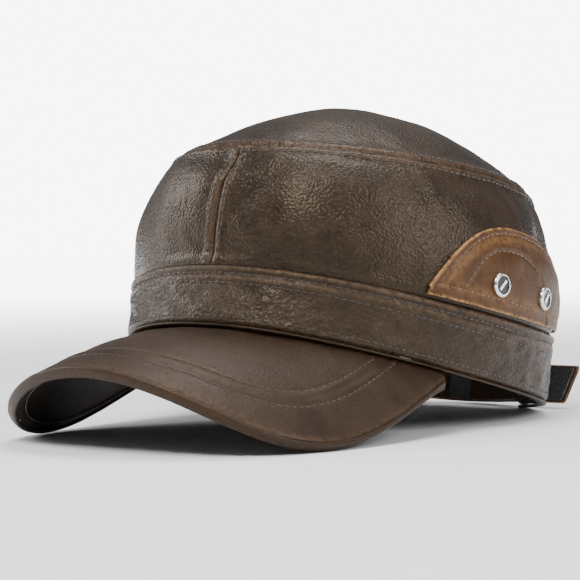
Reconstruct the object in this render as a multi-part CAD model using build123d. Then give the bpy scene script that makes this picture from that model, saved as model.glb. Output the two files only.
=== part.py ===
from build123d import *
import os
from math import atan, cos, degrees, pi, radians, sin, sqrt

# Brown leather cadet cap with an open back, lying on its visor and the back of its headband.
# Millimetres, +Z up, -Y the front of the cap, +X the wearer's left.
# Every sheet of leather, board or cloth is a thin closed solid.
# The sheets are laid inside one another along the normals of one shared wall surface.

os.makedirs("parts", exist_ok=True)

# ---- where the cap lies ---------------------------------------------------------------------
SHIFT_Y = 29.48             # brings the middle of the whole cap over the origin
SHIFT_Z = 0.131             # brings the lowest point of the cap to the floor

# ---- rings of the wall: half width, half depth, centre y, height, slope, side droop ----------
# The slope is the rise towards the back, and the droop lowers both sides of the ring.
RING_BAND_BOTTOM = (83.6, 104.8, 0.8, 25.25, -0.2335, -5.6)
RING_BAND_TOP = (90.4, 97.2, 3.4, 53.6, -0.206, -6.8)
RING_BULGE = (90.8, 98.8, 6.6, 72.0, -0.193, -4.0)
RING_SHOULDER = (86.0, 96.8, 9.0, 90.6, -0.180, -1.8)
RING_TURN = (81.4, 93.6, 11.2, 100.6, -0.172, -0.8)
RING_SEAM = (75.0, 89.4, 14.0, 109.2, -0.165, 0.0)
RINGS = (RING_BAND_BOTTOM, RING_BAND_TOP, RING_BULGE, RING_SHOULDER, RING_TURN, RING_SEAM)
RING_LEVELS = (0.0, 1.0, 1.6, 2.25, 2.65, 3.0)
SQUARENESS = 2.15           # power of the super-ellipse at the headband; the top seam is an ellipse
LEVEL_TOP = 3.0             # wall level of the top seam
FRONT_SEAM = 3.0            # angle of the seam at the front, a little to the wearer's left
DOME_RISE = 31.0            # rise of the top panel above its seam
CROWN_LOW = 1.012           # wall levels of the side panels' lower and upper edges
CROWN_HIGH = LEVEL_TOP - 0.02
PANEL_GAP = 0.15            # half the gap between the side panels at their seams, in degrees

# ---- sheet thicknesses -----------------------------------------------------------------------
LEATHER = 1.2
INTERLINING = 0.8
LINING = 0.5
STIFFENER = 1.2
SWEATBAND = 0.9
SHEET_GAP = 0.2             # air between two sheets of one body

# ---- headband ----------------------------------------------------------------------------------
BAND_END = 178.0            # angle of the band's ends, which the back opening cuts shorter
BAND_PROUD = 0.3            # how far the band's leather stands out from the wall
BAND_EDGE_PROUD = 0.5       # how far the tape along its lower edge stands out
BAND_EDGE_LOW = -0.055      # wall levels of that tape
BAND_EDGE_HIGH = -0.01

# ---- back opening -----------------------------------------------------------------------------
ARCH_HALF_WIDTH = 37.0
ARCH_FOOT = 18.0            # height up to which its sides stand straight
ARCH_HEIGHT = 27.0          # rise of the rounded part above that
ARCH_TAPE = 1.0             # thickness of the leather tape around the opening
ARCH_TAPE_PROUD = 0.6       # how far the tape stands out from the wall
CUTTER_START = 60.0         # the cutting prism starts this far behind the middle of the crown
CUTTER_LENGTH = 80.0
CUTTER_DROP = 60.0          # depth of its straight part, well below the band

# ---- visor ------------------------------------------------------------------------------------
VISOR_END_ANGLE = 75.0      # where the visor leaves the headband, from the front
VISOR_T_END = 1.86          # edge parameter at that end
EDGE_X = ((1, 91.9), (3, 6.6))      # waves that add up to the free edge: number of turns, size
EDGE_Y = ((0, -58.9), (1, -116.7), (2, 4.3))
EDGE_Z = ((0, 26.3), (1, -14.8), (2, 13.5), (3, 9.5))
VISOR_BULGE = 2.6           # how far the visor bows up between its two edges
VISOR_BOARD = 1.6
VISOR_UNDER = 0.9
VISOR_EDGE = 2.4            # width of the rolled leather edge
EDGE_PROUD = 0.3            # how far the rolled edge stands above and below the covers

# ---- side patches ------------------------------------------------------------------------------
PATCH_FRONT = 60.5          # angle of the front corner
PATCH_BACK = 130.0          # angle of the back corner
PATCH_PEAK = 95.0           # angle of the highest point
PATCH_LOW = 1.05            # wall level of the lower edge, just above the headband
PATCH_TOP = 2.15            # wall level of the peak
PATCH_CORNER = 0.12         # height of the blunt corners, in wall levels
PATCH_FRONT_POWER = 2.8     # fullness of the half-moon ahead of its peak and behind it
PATCH_BACK_POWER = 2.3
PATCH_LEATHER = 1.5
PADDING = 0.8
PADDING_INSET = 5.0         # the padding stops this many degrees inside the patch's ends
PADDING_LOW = PATCH_LOW + 0.04
PADDING_SHARE = 0.86        # its height as a share of the patch's
RIVET_ANGLES = (81.7, 102.3)
RIVET_LEVEL = 1.36
RIVET_RADIUS = 5.3
RIVET_HEIGHT = 1.6
RIVET_ROUND = 0.9           # rounding of the cap's outer edge
RIVET_RIM = 1.2             # width of the raised rim round the dish
RIVET_FLOOR = 0.6           # metal left under the dish
INLAY_GAP = 0.15            # air round and under the dark disc
INLAY_THICK = 0.3
BAR_SIZE = (5.6, 1.2, 0.5)
BAR_TURN = 40.0             # slant of the raised bar
POST_RADIUS = 1.3
HOLE_RADIUS = 1.6
HOLE_LENGTH = 20.0
WASHER_RADIUS = 4.2
WASHER_THICK = 0.7
LEVEL_BOTTOM = (Align.CENTER, Align.CENTER, Align.MIN)
LEVEL_FACE = (Align.CENTER, Align.CENTER, Align.MAX)

# ---- strap and tab -----------------------------------------------------------------------------
STRAP_WIDTH = 18.5
STRAP_LEATHER = 1.3
TAPE = 1.0                  # hook tape and loop tape
HINGE_HALF_SPAN = 34.6      # the sewn ends lie this far from the middle
STRAP_STRAIGHT_X = 20.0     # from here the strap leaves the curve of the band
STRAP_TIP_X = 58.0
STRAP_SLANT = 0.32          # sideways lean of the free end, per millimetre of width
STRAP_FLARE = 0.62          # how much the free end bends away from the band
STRAP_EASE = 28.0           # length over which the strap comes out from inside the band
TAB_TIP_X = 1.5
TAB_LOWER = 0.3             # the tab is narrower than the strap by this much at each edge
TAB_BEHIND = 0.5            # air between the strap's hook tape and the tab's loop tape
HOOK_START = 22.0           # distance from the sewn end to the hook tape
TAPE_INSET = 1.2            # the tapes lie this far inside the leather's edges
TAPE_END = 1.8              # and this far short of its free end
LOOP_END = 4.0              # distance from the tab's sewn end to the loop tape
STRAP_ROOT_INSET = 3.4      # how far the strap's sewn end lies inside its outer curve
STRAP_OUT = 2.6             # outer face of the strap, outside the curve of the band
STRAP_LIFT = 0.3            # lower edge of the strap above the plane of the band's edge

# ---- depths that follow from the thicknesses -------------------------------------------------------
LINING_DEPTH = LEATHER + SHEET_GAP + INTERLINING + SHEET_GAP
SWEAT_DEPTH = LEATHER + SHEET_GAP + STIFFENER + SHEET_GAP
ARCH_TAPE_DEPTH = SWEAT_DEPTH + SWEATBAND + 1.0
ARCH_TAPE_LOW = 2.4         # height of the lower ends of the arch tape
PATCH_OUT = SHEET_GAP + PADDING + SHEET_GAP + PATCH_LEATHER
VISOR_ROOT_LEVEL = -0.075   # the visor's top starts just under the headband's edge tape
VISOR_ROOT_DEPTH = 1.2
VISOR_T_SHEET = 1.78        # the visor's sheets stop a little short of its pointed ends


def vec(*xyz):
    """A point or direction."""
    return Vector(*xyz)


def ring_slope(ring, column):
    """Change of one ring dimension per wall level, taken across the ring's neighbours."""
    low = max(ring - 1, 0)
    high = min(ring + 1, len(RINGS) - 1)
    return (RINGS[high][column] - RINGS[low][column]) / (RING_LEVELS[high] - RING_LEVELS[low])


def ring_values(level):
    """Ring dimensions at a wall level, from a curve through the named rings."""
    last = len(RINGS) - 1
    place = min(max(level, RING_LEVELS[0]), RING_LEVELS[last])
    i = 0
    while i < last - 1 and place > RING_LEVELS[i + 1]:
        i += 1
    span = RING_LEVELS[i + 1] - RING_LEVELS[i]
    u = (place - RING_LEVELS[i]) / span
    beyond = level - place
    values = []
    for column in range(len(RINGS[0])):
        slopes = [ring_slope(ring, column) for ring in (i, i + 1)]
        value = RINGS[i][column] * (1 + 2 * u) * (1 - u) ** 2
        value += RINGS[i + 1][column] * u * u * (3 - 2 * u)
        value += slopes[0] * span * u * (1 - u) ** 2
        value += slopes[1] * span * u * u * (u - 1)
        value += slopes[0 if beyond < 0 else 1] * beyond
        values.append(value)
    return values


def wall_point(angle, level):
    """Point of the outer wall. The angle is in degrees from the front towards the wearer's left."""
    half_width, half_depth, centre, height, slope, droop = ring_values(level)
    side = sin(radians(angle))
    front = cos(radians(angle))
    power = SQUARENESS + (2.0 - SQUARENESS) * max(0.0, level - 1.0) / (LEVEL_TOP - 1.0)
    reach = (abs(side) ** power + abs(front) ** power) ** (-1.0 / power)
    x = half_width * side * reach
    y = -half_depth * front * reach
    z = height + slope * y + droop * (side * reach) ** 2
    return vec(x, centre + y + SHIFT_Y, z + SHIFT_Z)


def wall_normal(angle, level):
    """Outward unit normal of the wall."""
    step = 0.5
    along = wall_point(angle + step, level) - wall_point(angle - step, level)
    up = wall_point(angle, level + 0.02) - wall_point(angle, level - 0.02)
    return along.cross(up).normalized()


def wall_at(angle, level, depth):
    """Point at a depth inside the wall. A negative depth lies outside it."""
    return wall_point(angle, level) - wall_normal(angle, level) * depth


def between(low, high, count):
    """Evenly spaced numbers from low to high."""
    return [low + (high - low) * i / (count - 1) for i in range(count)]


def sheet(rows_outer, rows_inner):
    """Closed solid between two grids of points that have the same layout."""
    outer = Face.make_surface_from_array_of_points(rows_outer, tol=0.004)
    inner = Face.make_surface_from_array_of_points(rows_inner, tol=0.004)
    faces = [outer, inner]
    for edge in outer.edges():
        middle = edge.position_at(0.5)
        twin = min(inner.edges(), key=lambda other: (other.position_at(0.5) - middle).length)
        faces.append(Face.make_surface_from_curves(edge, twin))
    solid = Solid(Shell(faces))
    if solid.volume < 0:
        solid = Solid(Shell([-face for face in faces]))
    return solid


def wall_sheet(angles, level_low, level_high, depth_out, depth_in, rows=7, columns=41):
    """Curved sheet that follows the wall between two levels and two depths."""
    grids = []
    for depth in (depth_out, depth_in):
        grid = []
        for angle in between(angles[0], angles[1], columns):
            levels = between(level_low(angle), level_high(angle), rows)
            grid.append([wall_at(angle, level, depth) for level in levels])
        grids.append(grid)
    return sheet(grids[0], grids[1])


def constant(value):
    """Function that gives the same value everywhere."""
    return lambda place: value


def edge_line(t):
    """Free edge of the visor's top. t runs from -VISOR_T_END to VISOR_T_END, 0 at the front."""
    x = sum(size * sin(turns * t) for turns, size in EDGE_X)
    y = sum(size * cos(turns * t) for turns, size in EDGE_Y)
    z = sum(size * cos(turns * t) for turns, size in EDGE_Z)
    return vec(x, y + SHIFT_Y, z + SHIFT_Z)


def visor_point(t, reach):
    """Top surface of the visor. reach is the distance in millimetres back from the free edge."""
    root = wall_at(t / VISOR_T_END * VISOR_END_ANGLE, VISOR_ROOT_LEVEL, VISOR_ROOT_DEPTH)
    rim = edge_line(t)
    span = rim - root
    share = 1.0 - reach / span.length
    lift = VISOR_BULGE * 4 * share * (1 - share) * min(1.0, span.length / 60.0)
    return root + span * share + vec(0, -0.3, 1).normalized() * lift


def visor_at(t, reach, depth):
    """Point at a depth below the visor's top surface."""
    step = 0.02
    across = visor_point(t + step, reach) - visor_point(t - step, reach)
    inward = visor_point(t, reach + 0.5) - visor_point(t, reach - 0.5)
    normal = across.cross(inward).normalized()
    if normal.Z < 0:
        normal = normal * -1
    return visor_point(t, reach) - normal * depth


def visor_length(t):
    """Length of the visor's sheets from the free edge back to the headband."""
    root = wall_at(t / VISOR_T_END * VISOR_END_ANGLE, VISOR_ROOT_LEVEL, VISOR_ROOT_DEPTH)
    return (edge_line(t) - root).length - SHEET_GAP


def visor_sheet(reach_low, reach_high, depth_out, depth_in):
    """Sheet of the visor between two distances from its free edge. reach_high is a function of t."""
    grids = []
    for depth in (depth_out, depth_in):
        grid = []
        for t in between(-VISOR_T_SHEET, VISOR_T_SHEET, 61):
            reaches = between(reach_low, reach_high(t), 7)
            grid.append([visor_at(t, reach, depth) for reach in reaches])
        grids.append(grid)
    return sheet(grids[0], grids[1])


def tilt_to_seam(shape):
    """Move a shape from the flat onto the plane of the top seam."""
    centre, height, slope = RING_SEAM[2:5]
    turned = shape.rotate(Axis.X, degrees(atan(slope)))
    return turned.translate(vec(0, centre + SHIFT_Y, height + SHIFT_Z))


def dome_profile(depth, rim):
    """Half section of the top panel at a depth, from the middle to its rim."""
    points = []
    for share in between(0.0, 1.0, 15):
        radius = share * rim
        slope = -2 * DOME_RISE * radius / RING_SEAM[1] ** 2
        size = sqrt(1 + slope * slope)
        height = DOME_RISE * (1 - (radius / RING_SEAM[1]) ** 2)
        points.append((radius + depth * slope / size, height - depth / size))
    return points


def dome_sheet(depth_out, depth_in, rim):
    """Domed sheet of the top panel between two depths."""
    outer = dome_profile(depth_out, rim)
    inner = dome_profile(depth_in, rim)
    outer[0] = (0.0, outer[0][1])
    inner[0] = (0.0, inner[0][1])
    edges = [
        Spline([vec(r, 0, z) for r, z in outer]),
        Line(vec(outer[-1][0], 0, outer[-1][1]), vec(inner[-1][0], 0, inner[-1][1])),
        Spline([vec(r, 0, z) for r, z in reversed(inner)]),
        Line(vec(0, 0, inner[0][1]), vec(0, 0, outer[0][1])),
    ]
    section = Face(Wire(edges))
    turned = Solid.revolve(section, 360, Axis.Z)
    squeezed = scale(turned, by=(RING_SEAM[0] / RING_SEAM[1], 1, 1))
    return tilt_to_seam(squeezed)


def arch_cutter():
    """Half-moon prism that opens the back of the cap."""
    with BuildPart() as cutter:
        with BuildSketch(Plane.XZ.offset(-(SHIFT_Y + CUTTER_START))):
            with Locations((0, SHIFT_Z + ARCH_FOOT)):
                Ellipse(ARCH_HALF_WIDTH, ARCH_HEIGHT)
            with Locations((0, SHIFT_Z + ARCH_FOOT - CUTTER_DROP / 2)):
                Rectangle(2 * ARCH_HALF_WIDTH, CUTTER_DROP)
        extrude(amount=-CUTTER_LENGTH)
    return cutter.part


def wall_spot(x, z):
    """Angle and level of the back wall at a sideways place and a height."""
    angle, level = 180.0 - x * 0.6, 0.5
    for _ in range(40):
        here = wall_point(angle, level)
        turn = (wall_point(angle + 0.5, level).X - wall_point(angle - 0.5, level).X)
        rise = (wall_point(angle, level + 0.05).Z - wall_point(angle, level - 0.05).Z) / 0.1
        angle += 0.7 * (x - here.X) / turn
        level += 0.7 * (z - here.Z) / rise
    return angle, level


def arch_outline(share, inset):
    """Sideways place and height on the outline of the back opening, moved into the opening."""
    half_width = ARCH_HALF_WIDTH - inset
    rise = ARCH_HEIGHT - inset
    leg = ARCH_FOOT - ARCH_TAPE_LOW
    arc = pi / 2 * (half_width + rise) / 2
    place = abs(share) * (leg + arc)
    hand = 1.0 if share > 0 else -1.0
    if place < arc:
        turn = pi / 2 * place / arc
        return hand * half_width * sin(turn), ARCH_FOOT + rise * cos(turn)
    return hand * half_width, ARCH_FOOT - (place - arc)


def arch_tape():
    """Leather tape over the cut edges around the back opening."""
    grids = []
    for inset in (SHEET_GAP, SHEET_GAP + ARCH_TAPE):
        grid = []
        for share in between(-1.0, 1.0, 61):
            x, z = arch_outline(share, inset)
            angle, level = wall_spot(x, z + SHIFT_Z)
            spot = wall_point(angle, level)
            places = between(-ARCH_TAPE_DEPTH, ARCH_TAPE_PROUD, 4)
            grid.append([spot + vec(0, place, 0) for place in places])
        grids.append(grid)
    return {"arch_tape": sheet(grids[0], grids[1])}


def crown_sides():
    """Leather, interlining and lining of both side panels, cut for the back opening."""
    cutter = arch_cutter()
    parts = {}
    layers = {
        "crown_side": (0.0, LEATHER),
        "crown_interlining": (LEATHER + SHEET_GAP, LEATHER + SHEET_GAP + INTERLINING),
        "crown_lining": (LINING_DEPTH, LINING_DEPTH + LINING),
    }
    left = (FRONT_SEAM + PANEL_GAP, 180.0 - PANEL_GAP)
    right = (-180.0 + PANEL_GAP, FRONT_SEAM - PANEL_GAP)
    for name, (depth_out, depth_in) in layers.items():
        for hand, angles in (("left", left), ("right", right)):
            panel = wall_sheet(angles, constant(CROWN_LOW), constant(CROWN_HIGH), depth_out, depth_in)
            parts[f"{name}_{hand}"] = panel - cutter
    return parts


def crown_tops():
    """Leather, interlining and lining of the domed top panel."""
    return {
        "crown_top": dome_sheet(0.0, LEATHER, RING_SEAM[1]),
        "crown_top_interlining": dome_sheet(LEATHER + SHEET_GAP, LINING_DEPTH - SHEET_GAP,
                                            RING_SEAM[1] - 1.5),
        "crown_top_lining": dome_sheet(LINING_DEPTH, LINING_DEPTH + LINING, RING_SEAM[1] - 2.5),
    }


def headband():
    """The four layers of the headband and the tape under its edge."""
    cutter = arch_cutter()
    around = (-BAND_END, BAND_END)
    layers = {
        "headband_leather": (-BAND_PROUD, LEATHER - BAND_PROUD),
        "headband_stiffener": (LEATHER + SHEET_GAP, LEATHER + SHEET_GAP + STIFFENER),
        "sweatband": (SWEAT_DEPTH, SWEAT_DEPTH + SWEATBAND),
    }
    parts = {}
    for name, (depth_out, depth_in) in layers.items():
        panel = wall_sheet(around, constant(0.0), constant(1.0), depth_out, depth_in, columns=73)
        parts[name] = panel - cutter
    edge = wall_sheet(around, constant(BAND_EDGE_LOW), constant(BAND_EDGE_HIGH), -BAND_EDGE_PROUD,
                      SWEAT_DEPTH + SWEATBAND, rows=4, columns=73)
    parts["headband_edge_tape"] = edge - cutter
    return parts


def visor():
    """Covers, board and rolled edge of the visor."""
    board_top = LEATHER + SHEET_GAP
    under_top = board_top + VISOR_BOARD + SHEET_GAP
    bottom = under_top + VISOR_UNDER
    inner = VISOR_EDGE + SHEET_GAP
    return {
        "visor_top_cover": visor_sheet(inner, visor_length, 0.0, LEATHER),
        "visor_board": visor_sheet(inner, visor_length, board_top, board_top + VISOR_BOARD),
        "visor_under_cover": visor_sheet(inner, visor_length, under_top, bottom),
        "visor_edge": visor_sheet(0.0, constant(VISOR_EDGE), -EDGE_PROUD, bottom + EDGE_PROUD),
    }


def patch_height(angle):
    """Wall level of the patch's upper edge."""
    if angle < PATCH_PEAK:
        share = (PATCH_PEAK - angle) / (PATCH_PEAK - PATCH_FRONT)
        power = PATCH_FRONT_POWER
    else:
        share = (angle - PATCH_PEAK) / (PATCH_BACK - PATCH_PEAK)
        power = PATCH_BACK_POWER
    low = PATCH_LOW + PATCH_CORNER
    return low + (PATCH_TOP - low) * (1 - min(share, 1.0) ** power)


def rivet_planes(side):
    """Planes on the patch's face, one at each rivet."""
    planes = []
    for angle in RIVET_ANGLES:
        normal = wall_normal(side * angle, RIVET_LEVEL)
        spot = wall_at(side * angle, RIVET_LEVEL, -PATCH_OUT)
        up = vec(0, 0, 1) - normal * normal.Z
        planes.append(Plane(origin=spot, x_dir=up.cross(normal), z_dir=normal))
    return planes


def at_planes(make, planes):
    """One copy of a small solid at each plane."""
    copies = []
    for plane in planes:
        copies.append(plane.location * make())
    return Compound(copies)


def rivet_rim():
    """Dished metal cap of a rivet."""
    with BuildPart() as rim:
        with BuildSketch(Plane.XY.offset(SHEET_GAP)):
            Circle(RIVET_RADIUS)
        extrude(amount=RIVET_HEIGHT)
        fillet(rim.edges().group_by(Axis.Z)[-1], RIVET_ROUND)
        with BuildSketch(Plane.XY.offset(SHEET_GAP + RIVET_FLOOR)):
            Circle(RIVET_RADIUS - RIVET_RIM)
        extrude(amount=RIVET_HEIGHT, mode=Mode.SUBTRACT)
    return rim.part.solid()


def rivet_inlay():
    """Dark disc in the dish."""
    disc = Cylinder(RIVET_RADIUS - RIVET_RIM - INLAY_GAP, INLAY_THICK, align=LEVEL_BOTTOM)
    return Pos(0, 0, SHEET_GAP + RIVET_FLOOR + INLAY_GAP) * disc


def rivet_bar():
    """Raised bar across the dark disc."""
    bar = Box(*BAR_SIZE, align=LEVEL_BOTTOM).rotate(Axis.Z, BAR_TURN)
    return Pos(0, 0, SHEET_GAP + RIVET_FLOOR + INLAY_GAP + INLAY_THICK + 0.05) * bar


def rivet_post():
    """Shank through the patch and the wall."""
    length = PATCH_OUT + LINING_DEPTH + LINING + SHEET_GAP
    return Pos(0, 0, SHEET_GAP / 2) * Cylinder(POST_RADIUS, length, align=LEVEL_FACE)


def rivet_washer():
    """Flat washer on the inside of the lining."""
    depth = PATCH_OUT + LINING_DEPTH + LINING + 2 * SHEET_GAP
    return Pos(0, 0, -depth) * Cylinder(WASHER_RADIUS, WASHER_THICK, align=LEVEL_FACE)


def hole_drill():
    """Bore for a rivet's shank."""
    return Cylinder(HOLE_RADIUS, HOLE_LENGTH)


def side_patch(side):
    """Patch, padding and rivets on one side. side is 1 on the wearer's left and -1 on the right."""
    hand = "left" if side > 0 else "right"
    angles = (side * PATCH_FRONT, side * PATCH_BACK)

    def top(angle):
        return patch_height(abs(angle))

    def padding_top(angle):
        return PADDING_LOW + (patch_height(abs(angle)) - PADDING_LOW) * PADDING_SHARE

    leather = wall_sheet(angles, constant(PATCH_LOW), top, -PATCH_OUT, -PATCH_OUT + PATCH_LEATHER)
    inside = (side * (PATCH_FRONT + PADDING_INSET), side * (PATCH_BACK - PADDING_INSET))
    soft = wall_sheet(inside, constant(PADDING_LOW), padding_top, -SHEET_GAP - PADDING, -SHEET_GAP)
    planes = rivet_planes(side)
    drill = at_planes(hole_drill, planes)
    return {
        f"side_patch_{hand}": leather - drill,
        f"patch_padding_{hand}": soft - drill,
        f"rivet_rims_{hand}": at_planes(rivet_rim, planes),
        f"rivet_inlays_{hand}": at_planes(rivet_inlay, planes),
        f"rivet_bars_{hand}": at_planes(rivet_bar, planes),
        f"rivet_posts_{hand}": at_planes(rivet_post, planes),
        f"rivet_washers_{hand}": at_planes(rivet_washer, planes),
    }, drill


def band_curve(x, offset):
    """Plan of the back curve at a sideways place, moved outwards by offset."""
    half_width = RING_BAND_BOTTOM[0] + offset
    half_depth = RING_BAND_BOTTOM[1] + offset
    return half_depth * sqrt(1 - (x / half_width) ** 2)


def strap_plan(x, offset, free):
    """Plan of a strap. The free one leaves its sewn end inside and ends straight, off the band."""
    if not free:
        return band_curve(x, offset)
    ease = min(max((x + HINGE_HALF_SPAN) / STRAP_EASE, 0.0), 1.0)
    inset = STRAP_ROOT_INSET * (1 - ease * ease * (3 - 2 * ease))
    if x <= STRAP_STRAIGHT_X:
        return band_curve(x, offset - inset)
    start = band_curve(STRAP_STRAIGHT_X, offset)
    slope = (start - band_curve(STRAP_STRAIGHT_X - 0.1, offset)) / 0.1
    run = x - STRAP_STRAIGHT_X
    return start + slope * run * (1 - STRAP_FLARE * run / (STRAP_TIP_X - STRAP_STRAIGHT_X))


def strap_point(x, y, rise):
    """Point of a strap. rise is the distance above its lower edge, square to the band's plane."""
    centre, height, slope = RING_BAND_BOTTOM[2:5]
    tilt = vec(0, -slope, 1).normalized()
    foot = vec(x, centre + y + SHIFT_Y, height + slope * y + STRAP_LIFT + SHIFT_Z)
    return foot + tilt * rise


def strap_sheet(x_low, x_high, rise_low, rise_high, offset_out, offset_in, free, slant=0.0):
    """Sheet along the back curve between two sideways places."""
    grids = []
    for offset in (offset_out, offset_in):
        grid = []
        for share in between(0.0, 1.0, 31):
            row = []
            for rise in between(rise_low, rise_high, 5):
                x = x_low + (x_high + slant * rise - x_low) * share
                row.append(strap_point(x, strap_plan(x, offset, free), rise))
            grid.append(row)
        grids.append(grid)
    return sheet(grids[0], grids[1])


def strap():
    """Long strap sewn at the wearer's right, with its hook tape."""
    leather_in = STRAP_OUT - STRAP_LEATHER
    tape_out = leather_in - SHEET_GAP
    return {
        "strap_leather": strap_sheet(-HINGE_HALF_SPAN, STRAP_TIP_X, 0, STRAP_WIDTH,
                                     STRAP_OUT, leather_in, True, STRAP_SLANT),
        "strap_hook_tape": strap_sheet(-HINGE_HALF_SPAN + HOOK_START, STRAP_TIP_X - TAPE_END,
                                       TAPE_INSET, STRAP_WIDTH - TAPE_INSET,
                                       tape_out, tape_out - TAPE, True, STRAP_SLANT),
    }


def tab():
    """Short tab sewn at the wearer's left, with its loop tape."""
    tape_out = STRAP_OUT - STRAP_LEATHER - SHEET_GAP - TAPE - TAB_BEHIND
    leather_out = tape_out - TAPE - SHEET_GAP
    return {
        "tab_loop_tape": strap_sheet(TAB_TIP_X + TAPE_END, HINGE_HALF_SPAN - LOOP_END,
                                     TAB_LOWER + TAPE_INSET, STRAP_WIDTH - TAB_LOWER - TAPE_INSET,
                                     tape_out, tape_out - TAPE, False),
        "tab_leather": strap_sheet(TAB_TIP_X, HINGE_HALF_SPAN, TAB_LOWER, STRAP_WIDTH - TAB_LOWER,
                                   leather_out, leather_out - STRAP_LEATHER, False),
    }


parts = {}
parts.update(crown_tops())
parts.update(crown_sides())
parts.update(headband())
parts.update(arch_tape())
parts.update(visor())
for side, hand in ((1, "left"), (-1, "right")):
    pieces, drill = side_patch(side)
    parts.update(pieces)
    for name in ("crown_side", "crown_interlining", "crown_lining"):
        parts[f"{name}_{hand}"] = parts[f"{name}_{hand}"] - drill
parts.update(strap())
parts.update(tab())
for name, shape in parts.items():
    export_step(shape, f"parts/{name}.step")
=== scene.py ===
# %% [markdown]
# A brown leather cadet cap, dressed in Blender over its CAD frame.
# The frame gives every piece its true size and place. Each sheet of leather or cloth is rebuilt
# here as a finely divided sheet, so that it can carry seams, dents, wrinkles and real stitches.

# %% Load the frame
import math
import bpy
import numpy as np
from mathutils import Matrix, Vector, noise


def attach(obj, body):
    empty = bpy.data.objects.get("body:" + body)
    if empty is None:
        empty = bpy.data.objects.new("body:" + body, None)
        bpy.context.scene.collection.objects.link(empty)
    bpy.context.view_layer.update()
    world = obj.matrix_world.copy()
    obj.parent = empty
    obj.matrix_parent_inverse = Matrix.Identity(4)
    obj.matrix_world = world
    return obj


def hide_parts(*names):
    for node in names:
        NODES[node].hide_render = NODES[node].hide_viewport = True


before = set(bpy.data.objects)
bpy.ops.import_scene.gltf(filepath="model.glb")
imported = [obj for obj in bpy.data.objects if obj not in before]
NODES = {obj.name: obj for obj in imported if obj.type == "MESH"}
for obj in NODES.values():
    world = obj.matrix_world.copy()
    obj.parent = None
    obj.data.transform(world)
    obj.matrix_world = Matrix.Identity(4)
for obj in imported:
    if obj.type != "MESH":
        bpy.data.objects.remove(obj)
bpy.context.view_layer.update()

# %% [markdown]
# The wall of the cap is one surface that runs from the headband's edge up to the top seam.
# It is described by a few rings, each with its half width, half depth, centre, height, slope and
# side droop, in millimetres. A point of the wall is named by an angle from the front towards the
# wearer's left and by a level: 0 at the headband's edge, 1 at its top, 3 at the top seam.
# Every sheet is laid at its own depth under this surface, so the layers nest as sewn ones do.

# %% The wall surface
SHIFT = np.array([0.0, 29.48, 0.131])
RINGS = np.array([
    (83.6, 104.8, 0.8, 25.25, -0.2335, -5.6),
    (90.4, 97.2, 3.4, 53.6, -0.206, -6.8),
    (90.8, 98.8, 6.6, 72.0, -0.193, -4.0),
    (86.0, 96.8, 9.0, 90.6, -0.180, -1.8),
    (81.4, 93.6, 11.2, 100.6, -0.172, -0.8),
    (75.0, 89.4, 14.0, 109.2, -0.165, 0.0),
])
RING_LEVELS = np.array([0.0, 1.0, 1.6, 2.25, 2.65, 3.0])
SQUARENESS = 2.15
SEAM_LEVEL = 3.0
DEGREE_MM = 1.68        # rough length along the wall of one degree
CROWN_LEVEL_MM = 29.0   # rough height of one wall level on the crown
BAND_MM = 28.6          # height of the headband
RIM_MM = 83.0           # rough distance from the middle of the top panel to its seam
DOME_RISE = 31.0
ARCH_HALF_WIDTH = 37.0
ARCH_FOOT = 18.0
ARCH_HEIGHT = 27.0


def ring_slopes():
    """Rate of change of the ring dimensions at each named level."""
    low = np.maximum(np.arange(len(RINGS)) - 1, 0)
    high = np.minimum(np.arange(len(RINGS)) + 1, len(RINGS) - 1)
    return (RINGS[high] - RINGS[low]) / (RING_LEVELS[high] - RING_LEVELS[low])[:, None]


RING_SLOPES = ring_slopes()


def ring_values(level):
    """Ring dimensions at any level, on a smooth curve through the named rings."""
    level = np.asarray(level, float)
    place = np.clip(level, RING_LEVELS[0], RING_LEVELS[-1])
    i = np.clip(np.searchsorted(RING_LEVELS, place) - 1, 0, len(RINGS) - 2)
    span = (RING_LEVELS[i + 1] - RING_LEVELS[i])[..., None]
    u = (place - RING_LEVELS[i])[..., None] / span
    value = RINGS[i] * (1 + 2 * u) * (1 - u) ** 2 + RINGS[i + 1] * u * u * (3 - 2 * u)
    value = value + RING_SLOPES[i] * span * u * (1 - u) ** 2
    value = value + RING_SLOPES[i + 1] * span * u * u * (u - 1)
    beyond = (level - place)[..., None]
    return value + np.where(beyond < 0, RING_SLOPES[0], RING_SLOPES[-1]) * beyond


def wall(angle, level):
    """Points of the bare wall, in millimetres."""
    angle, level = np.broadcast_arrays(np.asarray(angle, float), np.asarray(level, float))
    width, depth, centre, height, slope, droop = np.moveaxis(ring_values(level), -1, 0)
    side, front = np.sin(np.radians(angle)), np.cos(np.radians(angle))
    power = SQUARENESS + (2.0 - SQUARENESS) * np.maximum(0.0, level - 1.0) / (SEAM_LEVEL - 1.0)
    reach = (np.abs(side) ** power + np.abs(front) ** power) ** (-1.0 / power)
    y = -depth * front * reach
    z = height + slope * y + droop * (side * reach) ** 2
    return np.stack([width * side * reach, centre + y, z], -1) + SHIFT


def unit(vectors):
    """The same directions, one long."""
    return vectors / np.maximum(np.linalg.norm(vectors, axis=-1, keepdims=True), 1e-9)


def wall_normal(angle, level):
    """Outward directions of the wall."""
    along = wall(angle + 0.5, level) - wall(angle - 0.5, level)
    up = wall(angle, level + 0.02) - wall(angle, level - 0.02)
    return unit(np.cross(along, up))


def wall_out(angle, level, out):
    """Points that stand out from the wall by so many millimetres."""
    out = np.asarray(out, float)[..., None]
    return wall(angle, level) + wall_normal(angle, level) * out


print("headband edge, front and back", wall(0, 0).round(1), wall(180, 0).round(1))

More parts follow.
